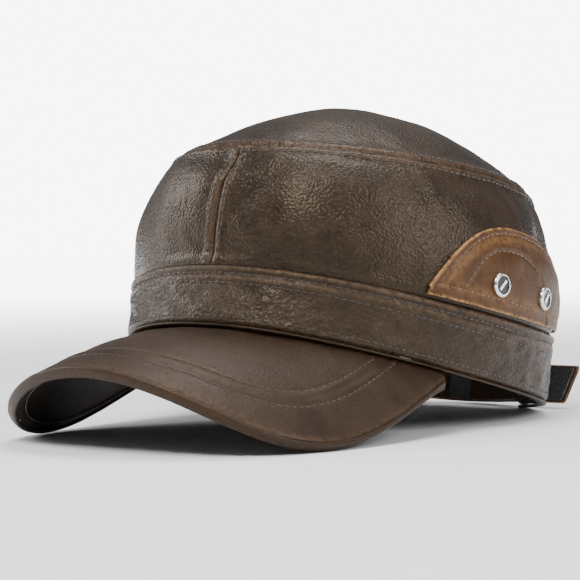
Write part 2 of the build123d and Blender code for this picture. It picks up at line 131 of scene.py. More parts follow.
# %% [markdown]
# Real leather is never even. A slow noise gives the broad soft dents of a cap that has been
# handled, and a quicker noise gives the small creases near the seams.
# Seams are drawn with two simple shapes: a ridge, where turned-in edges lie under the leather,
# and a groove, where the thread pulls it down.

# %% Relief helpers
def slow_noise(points, size, seed, octaves=2):
    """Smooth noise from -1 to 1 with features of about a size in millimetres."""
    shift = Vector((seed * 7.13, seed * 3.71, seed * 5.39))
    flat = points.reshape(-1, 3) / size
    basis = "PERLIN_ORIGINAL"
    values = [noise.fractal(Vector(p) + shift, 0.8, 2.0, octaves, noise_basis=basis) for p in flat]
    return np.array(values).reshape(points.shape[:-1])


def ridge(distance, width):
    """A smooth bump of height 1 and of about a width, centred on a line."""
    return np.exp(-(distance / width) ** 2)


def smooth(low, high, value):
    """0 below low, 1 above high, and a smooth step between them."""
    u = np.clip((value - low) / (high - low), 0, 1)
    return u * u * (3 - 2 * u)


# %% [markdown]
# Every sheet starts as Blender's flat grid. Its corners run from 0 to 1 both ways, and each
# vertex is then moved to the place that a small function gives for it, as a tailor lays a flat
# piece over a block. Solidify gives the sheet its thickness on the inside.
# Rolled edges and tapes start as the same grid, rolled up into a tube and closed.

# %% Piece builders
def new_grid(name, columns, rows):
    """A flat grid object, and the 0 to 1 place of each of its vertices."""
    bpy.ops.object.select_all(action="DESELECT")
    bpy.ops.mesh.primitive_grid_add(x_subdivisions=columns, y_subdivisions=rows, size=2)
    piece = bpy.context.object
    piece.name = piece.data.name = name
    flat = np.empty(len(piece.data.vertices) * 3)
    piece.data.vertices.foreach_get("co", flat)
    flat = flat.reshape(-1, 3)
    return piece, (flat[:, 0] + 1) / 2, (flat[:, 1] + 1) / 2


def set_places(piece, points):
    """Moves the vertices to points given in millimetres."""
    piece.data.vertices.foreach_set("co", (points / 1000.0).ravel())
    piece.data.update()


def select_only(piece):
    """Makes one object the selected and active one."""
    bpy.ops.object.select_all(action="DESELECT")
    piece.select_set(True)
    bpy.context.view_layer.objects.active = piece


def apply_modifiers(piece):
    """Applies every modifier in turn."""
    select_only(piece)
    for modifier in list(piece.modifiers):
        bpy.ops.object.modifier_apply(modifier=modifier.name)


def shade(piece, degrees=50):
    """Smooth shading, apart from edges that turn sharply."""
    select_only(piece)
    bpy.ops.object.shade_smooth_by_angle(angle=math.radians(degrees))


def sheet_piece(name, columns, rows, place, thickness, wear=None, cutter=None):
    """A sheet laid where place(u, v) says, thickened inwards, and cut if a cutter is given."""
    piece, u, v = new_grid(name, columns, rows)
    set_places(piece, place(u, v))
    if wear is not None:
        layer = piece.data.attributes.new("wear", "FLOAT", "POINT")
        layer.data.foreach_set("value", np.asarray(wear(u, v), float))
    solid = piece.modifiers.new("thickness", "SOLIDIFY")
    solid.thickness = thickness / 1000.0
    solid.offset = -1
    if cutter is not None:
        cut = piece.modifiers.new("opening", "BOOLEAN")
        cut.operation = "DIFFERENCE"
        cut.solver = "EXACT"
        cut.object = cutter
    apply_modifiers(piece)
    shade(piece)
    return piece


def tube_piece(name, columns, around, place):
    """A closed roll. place(u, v) gives its skin, with v once round the roll."""
    piece, u, v = new_grid(name, columns, around)
    set_places(piece, place(u, v % 1.0))
    select_only(piece)
    bpy.ops.object.mode_set(mode="EDIT")
    bpy.ops.mesh.select_all(action="SELECT")
    bpy.ops.mesh.remove_doubles(threshold=1e-6)
    bpy.ops.mesh.fill_holes(sides=0)
    bpy.ops.mesh.select_all(action="SELECT")
    bpy.ops.mesh.normals_make_consistent(inside=False)
    bpy.ops.object.mode_set(mode="OBJECT")
    shade(piece, 60)
    return piece


def arch_cutter():
    """A half-moon block as wide as the back opening: a cylinder with its lower half pulled down."""
    bpy.ops.object.select_all(action="DESELECT")
    bpy.ops.mesh.primitive_cylinder_add(vertices=96, radius=1, depth=0.1, rotation=(math.pi / 2, 0, 0))
    block = bpy.context.object
    bpy.ops.object.transform_apply(location=True, rotation=True, scale=True)
    for vertex in block.data.vertices:
        x, y, z = vertex.co
        low = z < -1e-4
        vertex.co.x = (math.copysign(1, x) if low and abs(x) > 0.05 else x) * ARCH_HALF_WIDTH / 1000
        vertex.co.z = (ARCH_FOOT + (60 if low else ARCH_HEIGHT) * z + SHIFT[2]) / 1000
        vertex.co.y = y + 0.125
    block.name = "opening_block"
    return block


CUTTER = arch_cutter()
print("opening block", [round(d * 1000, 1) for d in CUTTER.dimensions])

# %% [markdown]
# Materials are node trees, written here as Python sums. The class below wraps a socket, so that
# `1 - mask` or `cells * 0.4` adds the Math nodes that it needs. The maker class adds any other
# node from its type, its settings and its inputs.

# %% Shader helpers
class Signal:
    """A socket that can be used in sums."""

    def __init__(self, tree, socket):
        self.tree = tree
        self.socket = socket

    def _math(self, operation, first, second=None):
        node = self.tree.nodes.new("ShaderNodeMath")
        node.operation = operation
        for place, value in enumerate((first, second)):
            if isinstance(value, Signal):
                self.tree.links.new(value.socket, node.inputs[place])
            elif value is not None:
                node.inputs[place].default_value = value
        return Signal(self.tree, node.outputs[0])

    def __add__(self, other):
        return self._math("ADD", self, other)

    def __radd__(self, other):
        return self._math("ADD", other, self)

    def __sub__(self, other):
        return self._math("SUBTRACT", self, other)

    def __rsub__(self, other):
        return self._math("SUBTRACT", other, self)

    def __mul__(self, other):
        return self._math("MULTIPLY", self, other)

    def __rmul__(self, other):
        return self._math("MULTIPLY", other, self)

    def __pow__(self, other):
        return self._math("POWER", self, other)


class Finish:
    """A material under construction."""

    def __init__(self, name, **constants):
        self.material = bpy.data.materials.new(name)
        self.material.use_nodes = True
        self.tree = self.material.node_tree
        self.shader = self.tree.nodes["Principled BSDF"]
        self.place = self.node("TexCoord").outputs["Object"]
        for socket, value in constants.items():
            self.shader.inputs[socket.replace("_", " ")].default_value = value

    def node(self, kind, settings=None, **inputs):
        """Any node, from its type, its settings and the values or links of its inputs."""
        node = self.tree.nodes.new("ShaderNode" + kind)
        for key, value in (settings or {}).items():
            setattr(node, key, value)
        for key, value in inputs.items():
            socket = node.inputs[key.replace("_", " ")]
            if isinstance(value, Signal):
                self.tree.links.new(value.socket, socket)
            elif isinstance(value, bpy.types.NodeSocket):
                self.tree.links.new(value, socket)
            else:
                socket.default_value = value
        return node

    def noise(self, scale, detail=2.0, rough=0.5, stretch=None, distort=0.0):
        """Smooth noise, with features of about 1 / scale metres."""
        place = self.place
        if stretch:
            place = self.node("Mapping", Vector=place, Scale=stretch).outputs[0]
        node = self.node("TexNoise", Vector=place, Scale=scale, Detail=detail, Roughness=rough,
                         Distortion=distort)
        return Signal(self.tree, node.outputs[0])

    def cells(self, scale, feature="F1", smoothness=0.6):
        """Distance pattern of pebble-like cells."""
        settings = {"feature": feature}
        inputs = {"Vector": self.warped(scale), "Scale": scale}
        if feature == "SMOOTH_F1":
            inputs["Smoothness"] = smoothness
        return Signal(self.tree, self.node("TexVoronoi", settings, **inputs).outputs["Distance"])

    def warped(self, scale):
        """Object coordinates pushed about a little, so that cells aren't regular."""
        wobble = self.node("TexNoise", Vector=self.place, Scale=scale * 0.6, Detail=1.0)
        push = self.node("VectorMath", {"operation": "MULTIPLY_ADD"})
        self.tree.links.new(wobble.outputs["Color"], push.inputs[0])
        push.inputs[1].default_value = (0.6 / scale,) * 3
        self.tree.links.new(self.place, push.inputs[2])
        return push.outputs[0]

    def steps(self, signal, low, high):
        """0 below low and 1 above high."""
        settings = {"interpolation_type": "SMOOTHSTEP"}
        node = self.node("MapRange", settings, Value=signal, From_Min=low, From_Max=high)
        return Signal(self.tree, node.outputs[0])

    def attribute(self, name):
        """A number that the piece's vertices carry."""
        return Signal(self.tree, self.node("Attribute", {"attribute_name": name}).outputs["Fac"])

    def blend(self, mask, first, second, mode="MIX"):
        """A colour between two colours."""
        node = self.tree.nodes.new("ShaderNodeMix")
        node.data_type = "RGBA"
        node.blend_type = mode
        for socket, value in ((node.inputs[0], mask), (node.inputs[6], first), (node.inputs[7], second)):
            if isinstance(value, Signal):
                self.tree.links.new(value.socket, socket)
            elif isinstance(value, (int, float)):
                socket.default_value = value
            else:
                socket.default_value = (*value, 1.0)
        return Signal(self.tree, node.outputs[2])

    def out(self, colour=None, roughness=None, height=None, depth=0.0003, metallic=None):
        """Connects the results to the shader."""
        links = {"Base Color": colour, "Roughness": roughness, "Metallic": metallic}
        for name, signal in links.items():
            if signal is not None:
                self.tree.links.new(signal.socket, self.shader.inputs[name])
        if height is not None:
            bump = self.node("Bump", Height=height, Distance=depth, Strength=1.0)
            self.tree.links.new(bump.outputs[0], self.shader.inputs["Normal"])
        return self.material


# %% [markdown]
# The cap's leather is dark brown and semi-gloss, with fine pebbles about a millimetre across,
# finer pores between them, and slow changes of colour where the dye took more or less.
# One recipe makes all the leathers. Each gets its own colours, gloss, pebble size and creasing.
# Painted shade darkens the colour in the pebbles' hollows and in the troughs between creases.

# %% Leathers
def leather(name, dark, light, gloss, pebble_mm=1.1, crease=0.0, streaks=0.0, worn=None, depth=0.00022):
    """Grained leather. gloss is its roughness, and worn the colour where its wear is 1."""
    finish = Finish(name, Specular_IOR_Level=0.32, Specular_Tint=(1.0, 0.80, 0.62, 1.0))
    pebbles = finish.cells(1000 / pebble_mm, "SMOOTH_F1", 0.7)
    pores = finish.noise(2600.0, 2.0)
    slow = finish.noise(22.0, 3.0, 0.55)
    blotches = finish.noise(140.0, 3.0, 0.6)
    mask = finish.steps(slow * 0.65 + blotches * 0.35, 0.33, 0.67)
    colour = finish.blend(mask, dark, light)
    height = (1 - pebbles) * 0.9 + pores * 0.22
    if crease:
        folds = finish.noise(360.0, 4.0, 0.6, stretch=(1.0, 1.0, 1.6), distort=0.5)
        sharp = finish.steps(folds, 0.34, 0.54)
        height = height + sharp * crease
        # Painted shade: the colour is darkened towards 0.45 of the dark tone in the troughs between the
        # raised folds.
        colour = finish.blend((1 - sharp) * 0.3, colour, tuple(c * 0.45 for c in dark))
    if streaks:
        lines = finish.noise(60.0, 4.0, 0.6, stretch=(3.2, 3.2, 0.35), distort=0.5)
        pale = tuple(c * 1.6 for c in light)
        colour = finish.blend(finish.steps(lines, 0.38, 0.66) * streaks, colour, pale)
        dark_lines = finish.noise(95.0, 3.0, 0.6, stretch=(3.0, 3.0, 0.4))
        deep = tuple(c * 0.5 for c in dark)
        colour = finish.blend(finish.steps(dark_lines, 0.5, 0.72) * streaks * 0.8, colour, deep)
    # Painted shade: the colour is darkened towards half the dark tone in the pebbles' hollows.
    hollow = finish.steps(pebbles, 0.45, 0.9)
    colour = finish.blend(hollow * 0.5, colour, tuple(c * 0.5 for c in dark))
    if worn is not None:
        wear = finish.attribute("wear") * 0.7 * finish.steps(finish.noise(420.0, 2.0), 0.3, 0.62)
        colour = finish.blend(wear, colour, worn)
    rough = gloss + hollow * 0.16 + (blotches - 0.5) * 0.22
    return finish.out(colour, rough, height, depth)


CROWN_LEATHER = leather("crown_leather", (0.0085, 0.0049, 0.0028), (0.023, 0.0134, 0.0077), 0.33,
                        pebble_mm=1.1, worn=(0.078, 0.043, 0.023), depth=0.00032)
BAND_LEATHER = leather("band_leather", (0.0095, 0.0056, 0.0032), (0.027, 0.0161, 0.0092), 0.36,
                       pebble_mm=1.2, crease=0.6, worn=(0.085, 0.050, 0.028), depth=0.00026)
VISOR_LEATHER = leather("visor_leather", (0.0115, 0.0058, 0.0032), (0.024, 0.0121, 0.0066), 0.46,
                        pebble_mm=0.8, worn=(0.085, 0.046, 0.026), depth=0.00014)
EDGE_LEATHER = leather("edge_leather", (0.0115, 0.0066, 0.0038), (0.026, 0.0150, 0.0085), 0.40,
                       pebble_mm=0.8, worn=(0.080, 0.045, 0.026), depth=0.00012)
PATCH_LEATHER = leather("patch_leather", (0.032, 0.0122, 0.0038), (0.064, 0.026, 0.0080), 0.44,
                        pebble_mm=0.9, streaks=0.3, worn=(0.36, 0.19, 0.075), depth=0.0001)
STRAP_LEATHER = leather("strap_leather", (0.018, 0.0098, 0.0055), (0.040, 0.0215, 0.0120), 0.44,
                        pebble_mm=0.9, worn=(0.11, 0.062, 0.034), depth=0.00012)
UNDER_LEATHER = leather("under_leather", (0.006, 0.005, 0.0045), (0.014, 0.0115, 0.0100), 0.5,
                        pebble_mm=0.9, depth=0.00014)
print("leathers", [m.name for m in bpy.data.materials if "leather" in m.name])

# %% [markdown]
# Inside, the cap is lined with thin black satin. Its weave is drawn on the sheet's own UV map, so
# that it follows the cloth. The touch tapes are black too: one is a bed of tiny stiff hooks in
# rows, and the other is a brushed felt of loops.

# %% Cloths, metal and hidden layers
def cloth(name, dark, light, rough, threads, sheen=0.3):
    """Woven cloth with its threads along the piece's UV map."""
    finish = Finish(name, Sheen_Weight=sheen, Specular_IOR_Level=0.3)
    map_node = finish.node("UVMap")
    turned = finish.node("Mapping", Vector=map_node.outputs[0], Scale=(threads[0], threads[1], 1.0))
    weave = finish.node("TexChecker", Vector=turned.outputs[0], Scale=1.0)
    lift = Signal(finish.tree, weave.outputs["Fac"])
    fuzz = finish.noise(1500.0, 2.0)
    slow = finish.noise(30.0, 3.0)
    colour = finish.blend(finish.steps(slow * 0.6 + lift * 0.4, 0.2, 0.8), dark, light)
    return finish.out(colour, rough + fuzz * 0.15, lift * 0.6 + fuzz * 0.5, 0.0001)


def felt(name, dark, light, scale, depth, rough=0.85):
    """A mat of loops, hooks or fibres."""
    finish = Finish(name, Sheen_Weight=0.4, Specular_IOR_Level=0.25)
    tufts = finish.cells(scale)
    fibres = finish.noise(scale * 1.7, 3.0, 0.6)
    # Partly painted shade: the colour darkens from the tufts' raised middles into the gaps, and the fibre
    # noise varies the mat's own tone.
    mask = finish.steps(tufts * 0.6 + fibres * 0.5, 0.25, 0.75)
    colour = finish.blend(mask, light, dark)
    return finish.out(colour, rough + fibres * 0.1, (1 - tufts) + fibres * 0.5, depth)


def metal(name, colour, rough, scratch=0.1):
    """Plated or bare metal with fine scratches."""
    finish = Finish(name, Metallic=1.0)
    lines = finish.noise(900.0, 3.0, 0.6, stretch=(1.0, 1.0, 6.0))
    spots = finish.noise(500.0, 2.0)
    tint = finish.blend(finish.steps(spots, 0.4, 0.7), colour, tuple(c * 0.72 for c in colour))
    return finish.out(tint, rough + lines * scratch, lines * 0.3 + spots * 0.3, 0.00003)


def hard(name, colour, rough):
    """Enamel or moulded sheet with a faint orange peel."""
    finish = Finish(name, Coat_Weight=0.4)
    peel = finish.noise(1400.0, 2.0)
    slow = finish.noise(200.0, 2.0)
    tint = finish.blend(slow, colour, tuple(c * 1.8 + 0.004 for c in colour))
    return finish.out(tint, rough + peel * 0.15, peel, 0.00004)


LINING = cloth("lining_satin", (0.006, 0.006, 0.007), (0.016, 0.016, 0.018), 0.42, (900, 420))
SWEAT_CLOTH = cloth("sweatband_cloth", (0.006, 0.006, 0.006), (0.018, 0.018, 0.018), 0.7, (1500, 60))
HOOKS = felt("hook_tape", (0.003, 0.003, 0.003), (0.016, 0.016, 0.017), 1500.0, 0.0004, 0.6)
LOOPS = felt("loop_tape", (0.006, 0.006, 0.006), (0.022, 0.022, 0.023), 1100.0, 0.0004)
INTERLINING = felt("interlining_felt", (0.10, 0.10, 0.10), (0.24, 0.24, 0.23), 900.0, 0.0002)
FOAM = felt("padding_foam", (0.05, 0.05, 0.05), (0.16, 0.16, 0.15), 1300.0, 0.0003)
CHROME = metal("rivet_chrome", (0.78, 0.77, 0.75), 0.13)
STEEL = metal("rivet_steel", (0.42, 0.41, 0.40), 0.32, 0.25)
ENAMEL = hard("rivet_enamel", (0.006, 0.006, 0.007), 0.22)
BOARD = hard("visor_board", (0.035, 0.035, 0.036), 0.5)
THREAD_DARK = felt("thread_dark", (0.012, 0.008, 0.006), (0.04, 0.026, 0.018), 2600.0, 0.0001, 0.55)
THREAD_VISOR = felt("thread_visor", (0.02, 0.011, 0.008), (0.06, 0.033, 0.02), 2600.0, 0.0001, 0.55)
THREAD_TAN = felt("thread_tan", (0.07, 0.032, 0.014), (0.20, 0.10, 0.045), 2600.0, 0.0001, 0.55)
THREAD_BLACK = felt("thread_black", (0.004, 0.004, 0.004), (0.016, 0.016, 0.016), 2600.0, 0.0001, 0.55)


def dress(piece, material, body="cap", stands_for=()):
    """Gives a piece its finish and its body, and hides the CAD nodes that it stands for."""
    piece.data.materials.clear()
    piece.data.materials.append(material)
    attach(piece, body)
    if stands_for:
        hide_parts(*stands_for)
    return piece


print("finishes", len(bpy.data.materials))

# %% [markdown]
# A line of lockstitches is a row of short lens-shaped threads, each sunk at both ends. One
# stitch is modelled from a small sphere, and copied along a line of points on the leather.

# %% Stitches
def one_stitch():
    """Vertices and faces of a stitch one unit long, wide and high."""
    bpy.ops.object.select_all(action="DESELECT")
    bpy.ops.mesh.primitive_uv_sphere_add(segments=8, ring_count=4, radius=0.5, rotation=(0, math.pi / 2, 0))
    bead = bpy.context.object
    bpy.ops.object.transform_apply(location=True, rotation=True, scale=True)
    points = np.array([v.co for v in bead.data.vertices])
    faces = [tuple(p.vertices) for p in bead.data.polygons]
    bpy.data.objects.remove(bead)
    return points, faces


STITCH_POINTS, STITCH_FACES = one_stitch()
ROWS = []


def along(line, pitch):
    """Even places along a line of points, and the direction of the line there."""
    steps = np.linalg.norm(np.diff(line, axis=0), axis=1)
    run = np.concatenate([[0], np.cumsum(steps)])
    count = max(2, int(run[-1] / pitch))
    places = (np.arange(count) + 0.5) * run[-1] / count
    centre = np.stack([np.interp(places, run, line[:, k]) for k in range(3)], -1)
    ahead = np.stack([np.interp(places + 0.4, run, line[:, k]) for k in range(3)], -1)
    behind = np.stack([np.interp(places - 0.4, run, line[:, k]) for k in range(3)], -1)
    return places / run[-1], centre, unit(ahead - behind)


def stitch_row(line, normals, pitch=3.3, length=2.7, width=0.62, height=0.5):
    """Stitches along a line on a surface. Both are lists of points in millimetres."""
    share, centre, forward = along(line, pitch)
    index = share * (len(line) - 1)
    up = np.stack([np.interp(index, np.arange(len(line)), normals[:, k]) for k in range(3)], -1)
    side = unit(np.cross(up, forward))
    up = np.cross(forward, side)
    shape = STITCH_POINTS * (length, width, height)
    placed = centre[:, None] + shape[None, :, :1] * forward[:, None] + shape[None, :, 1:2] * side[:, None]
    return placed + shape[None, :, 2:] * up[:, None]


def thread_piece(name, rows, material, body):
    """All the stitches of one seam as one mesh."""
    placed = np.concatenate(rows)
    count = len(STITCH_POINTS)
    faces = [tuple(i + k * count for i in face) for k in range(len(placed)) for face in STITCH_FACES]
    mesh = bpy.data.meshes.new(name)
    mesh.from_pydata((placed.reshape(-1, 3) / 1000).tolist(), [], faces)
    piece = bpy.data.objects.new(name, mesh)
    bpy.context.collection.objects.link(piece)
    shade(piece, 80)
    dress(piece, material, body)
    print(name, len(placed), "stitches")
    return piece


# %% [markdown]
# The crown's two side panels meet at the centre front and the centre back. Their edges are turned
# in and stitched flat on both sides of the seam, which raises two soft welts with a groove between
# them. The same happens along the top seam. Lower down, the panel tucks in behind the headband.

# %% Crown side panels
def front_seam(level):
    """Angle of the front seam, which leans a little to the wearer's left on its way up."""
    return 1.6 + 1.0 * (level - 1.0) ** 2


def panel_angle(sign, u, level):
    """Angle across one side panel, from the front or back seam at u = 0 to the other at u = 1."""
    seam = front_seam(level)
    if sign > 0:
        return seam + 0.15 + (179.7 - seam) * u
    return -179.85 + (179.7 + seam) * u


def arc_from(angle, line_angle):
    """Rough distance in millimetres along the wall from a line at an angle."""
    return (angle - line_angle) * DEGREE_MM


def seam_distance(angle, level):
    """Rough distance in millimetres from the nearer of the front and back seams."""
    front = np.abs(arc_from(angle, front_seam(level)))
    return np.minimum(front, np.abs(arc_from(np.abs(angle), 180)))


def crown_dents(angle, level):
    """Broad soft dents, which the layers under the leather share."""
    points = wall(angle, level)
    calm = smooth(0, 10, (SEAM_LEVEL - level) * CROWN_LEVEL_MM) * smooth(1.0, 1.2, level)
    return calm * (slow_noise(points, 46.0, 3) * 2.1 + slow_noise(points, 19.0, 5) * 0.7 - 0.2)


def crown_relief(angle, level):
    """How far the crown's leather stands out from the bare wall."""
    points = wall(angle, level)
    below_top = (SEAM_LEVEL - level) * CROWN_LEVEL_MM
    out = 0.0
    for seam in (front_seam(level), 180.0, -180.0):
        off = np.abs(arc_from(angle, seam))
        out = out + 0.75 * ridge(off - 3.0, 2.0) - 0.5 * ridge(off, 0.9) - 0.16 * ridge(off - 3.8, 0.7)
    out = out + 0.8 * ridge(below_top - 2.6, 2.0) - 0.18 * ridge(below_top - 3.6, 0.7)
    out = out - 0.5 * ridge(below_top, 0.9)
    out = out - 1.0 * (1 - smooth(1.0, 1.12, level))
    pulls = slow_noise(points * (1.0, 1.0, 0.35), 9.0, 8) * 0.34 * (1 - 0.75 * smooth(6, 26, below_top))
    return out + crown_dents(angle, level) + pulls


def crown_surface(angle, level):
    """The crown's leather with its relief."""
    return wall_out(angle, level, crown_relief(angle, level))


def side_panel(sign):
    """One side panel's surface as a function of (u, v)."""
    def place(u, v):
        level = 1.012 + (SEAM_LEVEL - 1.022) * v
        return crown_surface(panel_angle(sign, u, level), level)
    return place


def side_wear(sign):
    """Worn where the welts stand proud."""
    def wear(u, v):
        level = 1.012 + (SEAM_LEVEL - 1.022) * v
        angle = panel_angle(sign, u, level)
        below_top = (1 - v) * CROWN_LEVEL_MM * 2
        off = seam_distance(angle, level)
        return 0.8 * np.maximum(ridge(off - 2.2, 1.3), ridge(below_top - 1.6, 1.3))
    return wear


for hand, sign in (("left", 1), ("right", -1)):
    panel = sheet_piece(f"crown_leather_{hand}", 340, 110, side_panel(sign), 1.2, side_wear(sign), CUTTER)
    dress(panel, CROWN_LEATHER, "cap", [f"crown_side_{hand}"])
    print(panel.name, len(panel.data.polygons), "faces")

# %% [markdown]
# The top is one oval panel, slightly domed. A square grid is mapped onto a disc, which leaves no
# pinched pole in the middle. Its rim is turned under, so it is also a welt beside the seam.

# %% Crown top
def on_disc(u, v):
    """Places of a square grid moved onto a round disc."""
    x, y = 2 * u - 1, 2 * v - 1
    return x * np.sqrt(1 - y * y / 2), y * np.sqrt(1 - x * x / 2)


def top_surface(x, y, depth=0.0):
    """The top panel at a place on a unit disc, with its relief."""
    width, length, centre, height, slope, _ = RINGS[-1]
    radius = np.sqrt(x * x + y * y)
    from_rim = (1 - radius) * RIM_MM
    flat = np.stack([x * width, y * length, DOME_RISE * (1 - radius ** 2)], -1)
    normal = unit(np.stack([x * 2 * DOME_RISE / width, y * 2 * DOME_RISE / length, np.ones_like(x)], -1))
    welt = 0.8 * ridge(from_rim - 2.6, 2.0) - 0.18 * ridge(from_rim - 3.6, 0.7) - 0.5 * ridge(from_rim, 0.9)
    dents = slow_noise(flat, 50.0, 11) * 1.5 + slow_noise(flat, 20.0, 13) * 0.35
    pulls = slow_noise(flat, 8.0, 15) * 0.25 * (1 - 0.8 * smooth(6, 22, from_rim))
    flat = flat + normal * (welt + dents * smooth(0, 12, from_rim) + pulls - depth)[..., None]
    turn = math.atan(slope)
    y2 = flat[..., 1] * math.cos(turn) - flat[..., 2] * math.sin(turn)
    z2 = flat[..., 1] * math.sin(turn) + flat[..., 2] * math.cos(turn)
    return np.stack([flat[..., 0], y2 + centre, z2 + height], -1) + SHIFT


def top_place(u, v):
    x, y = on_disc(u, v)
    return top_surface(x, y)


def top_wear(u, v):
    x, y = on_disc(u, v)
    return 0.8 * ridge((1 - np.hypot(x, y)) * RIM_MM - 1.6, 1.3)


top = sheet_piece("crown_leather_top", 190, 190, top_place, 1.2, top_wear)
dress(top, CROWN_LEATHER, "cap", ["crown_top"])
print(top.name, len(top.data.polygons), "faces")

# %% [markdown]
# The headband is a strip of softer, more wrinkled leather. Its upper edge is folded under and
# sewn over the crown, so it ends in a thick rounded welt with two rows of thread. Its lower edge
# is rolled round the sweatband.

# %% Headband
BAND_END = 177.0


def band_relief(angle, level):
    """How far the headband stands out from the bare wall."""
    points = wall(angle, level)
    below_top = (1 - level) * BAND_MM
    above_edge = level * BAND_MM
    out = 0.55 + 0.75 * ridge(below_top - 1.9, 1.7) + 0.55 * ridge(below_top - 6.2, 1.9)
    out = out - 0.35 * ridge(below_top - 4.0, 0.8) - 1.3 * (1 - smooth(0.0, 1.1, below_top))
    out = out + 0.5 * ridge(above_edge - 1.6, 1.6) - 0.9 * (1 - smooth(0.0, 1.2, above_edge))
    creases = slow_noise(points * (0.55, 0.55, 1.3), 6.0, 21, 3) * 0.42 + slow_noise(points, 15.0, 23) * 0.75
    calm = smooth(4, 9, below_top) * smooth(1.0, 4.5, above_edge)
    return out + creases * (0.18 + 0.82 * calm) + calm * 0.35


def band_surface(angle, level):
    """The headband's leather with its relief."""
    return wall_out(angle, level, band_relief(angle, level))


def band_place(u, v):
    return band_surface(-BAND_END + 2 * BAND_END * u, v)


def band_wear(u, v):
    below_top = (1 - v) * BAND_MM
    upper = np.maximum(0.9 * ridge(below_top - 1.4, 1.1), 0.55 * ridge(below_top - 6.0, 1.3))
    return upper + 0.5 * ridge(v * BAND_MM, 1.3)


band = sheet_piece("headband_outer", 760, 52, band_place, 1.1, band_wear, CUTTER)
dress(band, BAND_LEATHER, "cap", ["headband_leather"])
print(band.name, len(band.data.polygons), "faces")

# %% [markdown]
# A narrow leather tape is rolled round the headband's lower edge. It shows as a thin cord over
# the visor, so it is a tube with a soft square section, its outer side a little swollen.

# %% Headband edge roll
EDGE_END = 153.4


def edge_roll(u, v):
    angle = -EDGE_END + 2 * EDGE_END * u
    turn = 2 * math.pi * v
    across = np.sign(np.cos(turn)) * np.abs(np.cos(turn)) ** 0.7
    height = np.sign(np.sin(turn)) * np.abs(np.sin(turn)) ** 0.8
    wobble = slow_noise(wall(angle, 0.0), 12.0, 31) * 0.12
    return wall_out(angle, -0.030 + 0.026 * height, -1.55 + 2.45 * across + wobble)


roll = tube_piece("headband_edge_roll", 420, 14, edge_roll)
dress(roll, EDGE_LEATHER, "cap", ["headband_edge_tape"])

# %% [markdown]
# The visor is a stiff board between two leather covers. It springs from the headband's front edge,
# bows up a little, and curls down at both sides onto the table. Its free edge is a closed curve
# made of a few waves, and each place on it is named by that curve's parameter and by the
# distance back from the edge.

# %% Visor
VISOR_END_ANGLE = 75.0
VISOR_T_END = 1.86
VISOR_T_SHEET = 1.78
VISOR_BULGE = 2.6
VISOR_EDGE = 2.4


def edge_line(t):
    """Free edge of the visor."""
    x = 91.9 * np.sin(t) + 6.6 * np.sin(3 * t)
    y = -58.9 - 116.7 * np.cos(t) + 4.3 * np.cos(2 * t)
    z = 26.3 - 14.8 * np.cos(t) + 13.5 * np.cos(2 * t) + 9.5 * np.cos(3 * t)
    return np.stack([x, y, z], -1) + SHIFT


def visor_root(t):
    """Inner edge of the visor, under the headband."""
    return wall_out(t / VISOR_T_END * VISOR_END_ANGLE, -0.075, -1.2)


def visor_length(t):
    return np.linalg.norm(edge_line(t) - visor_root(t), axis=-1)


def visor_point(t, reach):
    """The visor's top, so many millimetres back from its free edge."""
    root = visor_root(t)
    span = edge_line(t) - root
    length = np.linalg.norm(span, axis=-1)
    share = 1 - reach / length
    lift = VISOR_BULGE * 4 * share * (1 - share) * np.minimum(1.0, length / 60.0)
    up = unit(np.array([0.0, -0.3, 1.0]))
    return root + span * share[..., None] + up * lift[..., None]


def visor_at(t, reach, out):
    """A place standing out from the visor's top."""
    t, reach = np.broadcast_arrays(t, reach)
    across = visor_point(t + 0.02, reach) - visor_point(t - 0.02, reach)
    inward = visor_point(t, reach + 0.5) - visor_point(t, reach - 0.5)
    normal = unit(np.cross(across, inward))
    return visor_point(t, reach) + normal * np.asarray(out)[..., None]


def visor_relief(t, reach):
    """Ridges between the two sewn lines of the visor, and faint dents."""
    points = visor_point(t, reach)
    upper, lower = (reach - sewn_reach(row, t) for row in SEWN_ROWS)
    out = 0.35 * ridge(lower - 3.0, 2.4) - 0.3 * ridge(upper, 0.8)
    out = out - 0.3 * ridge(lower, 0.8) + 0.3 * ridge(upper + 2.6, 2.0)
    out = out - 0.5 * (1 - smooth(0.0, 1.6, reach - VISOR_EDGE))
    return out + slow_noise(points, 34.0, 41) * 0.5 + slow_noise(points, 11.0, 43) * 0.12


SEWN_ROWS = ((24.5, 38.0), (16.5, 24.5))
TUCK = 2.2    # the top cover's inner edge is tucked this far under the headband


def sewn_reach(row, t):
    """Distance of a sewn line from the free edge. It drifts back to the headband at the sides."""
    return row[0] + row[1] * np.maximum(np.abs(t) - 0.6, 0) ** 2


def visor_place(u, v):
    t = -VISOR_T_SHEET + 2 * VISOR_T_SHEET * u
    low = VISOR_EDGE + 0.1
    reach = low + (visor_length(t) + TUCK - low) * v
    return visor_at(t, reach, visor_relief(t, reach))


def visor_wear(u, v):
    t = -VISOR_T_SHEET + 2 * VISOR_T_SHEET * u
    reach = VISOR_EDGE + (visor_length(t) - VISOR_EDGE) * v
    return 0.6 * ridge(reach - VISOR_EDGE, 2.2) + 0.3 * ridge(reach - sewn_reach(SEWN_ROWS[0], t) + 2.0, 1.6)


def under_place(u, v):
    t = VISOR_T_SHEET - 2 * VISOR_T_SHEET * u
    low = VISOR_EDGE + 0.1
    reach = low + (visor_length(t) - 0.2 - low) * v
    points = visor_point(t, reach)
    out = -4.1 - 0.35 * ridge(reach - 6.5, 0.8) - 0.35 * ridge(reach - 5.2, 1.4)
    return visor_at(t, reach, out + slow_noise(points, 30.0, 47) * 0.25 + 0.25)


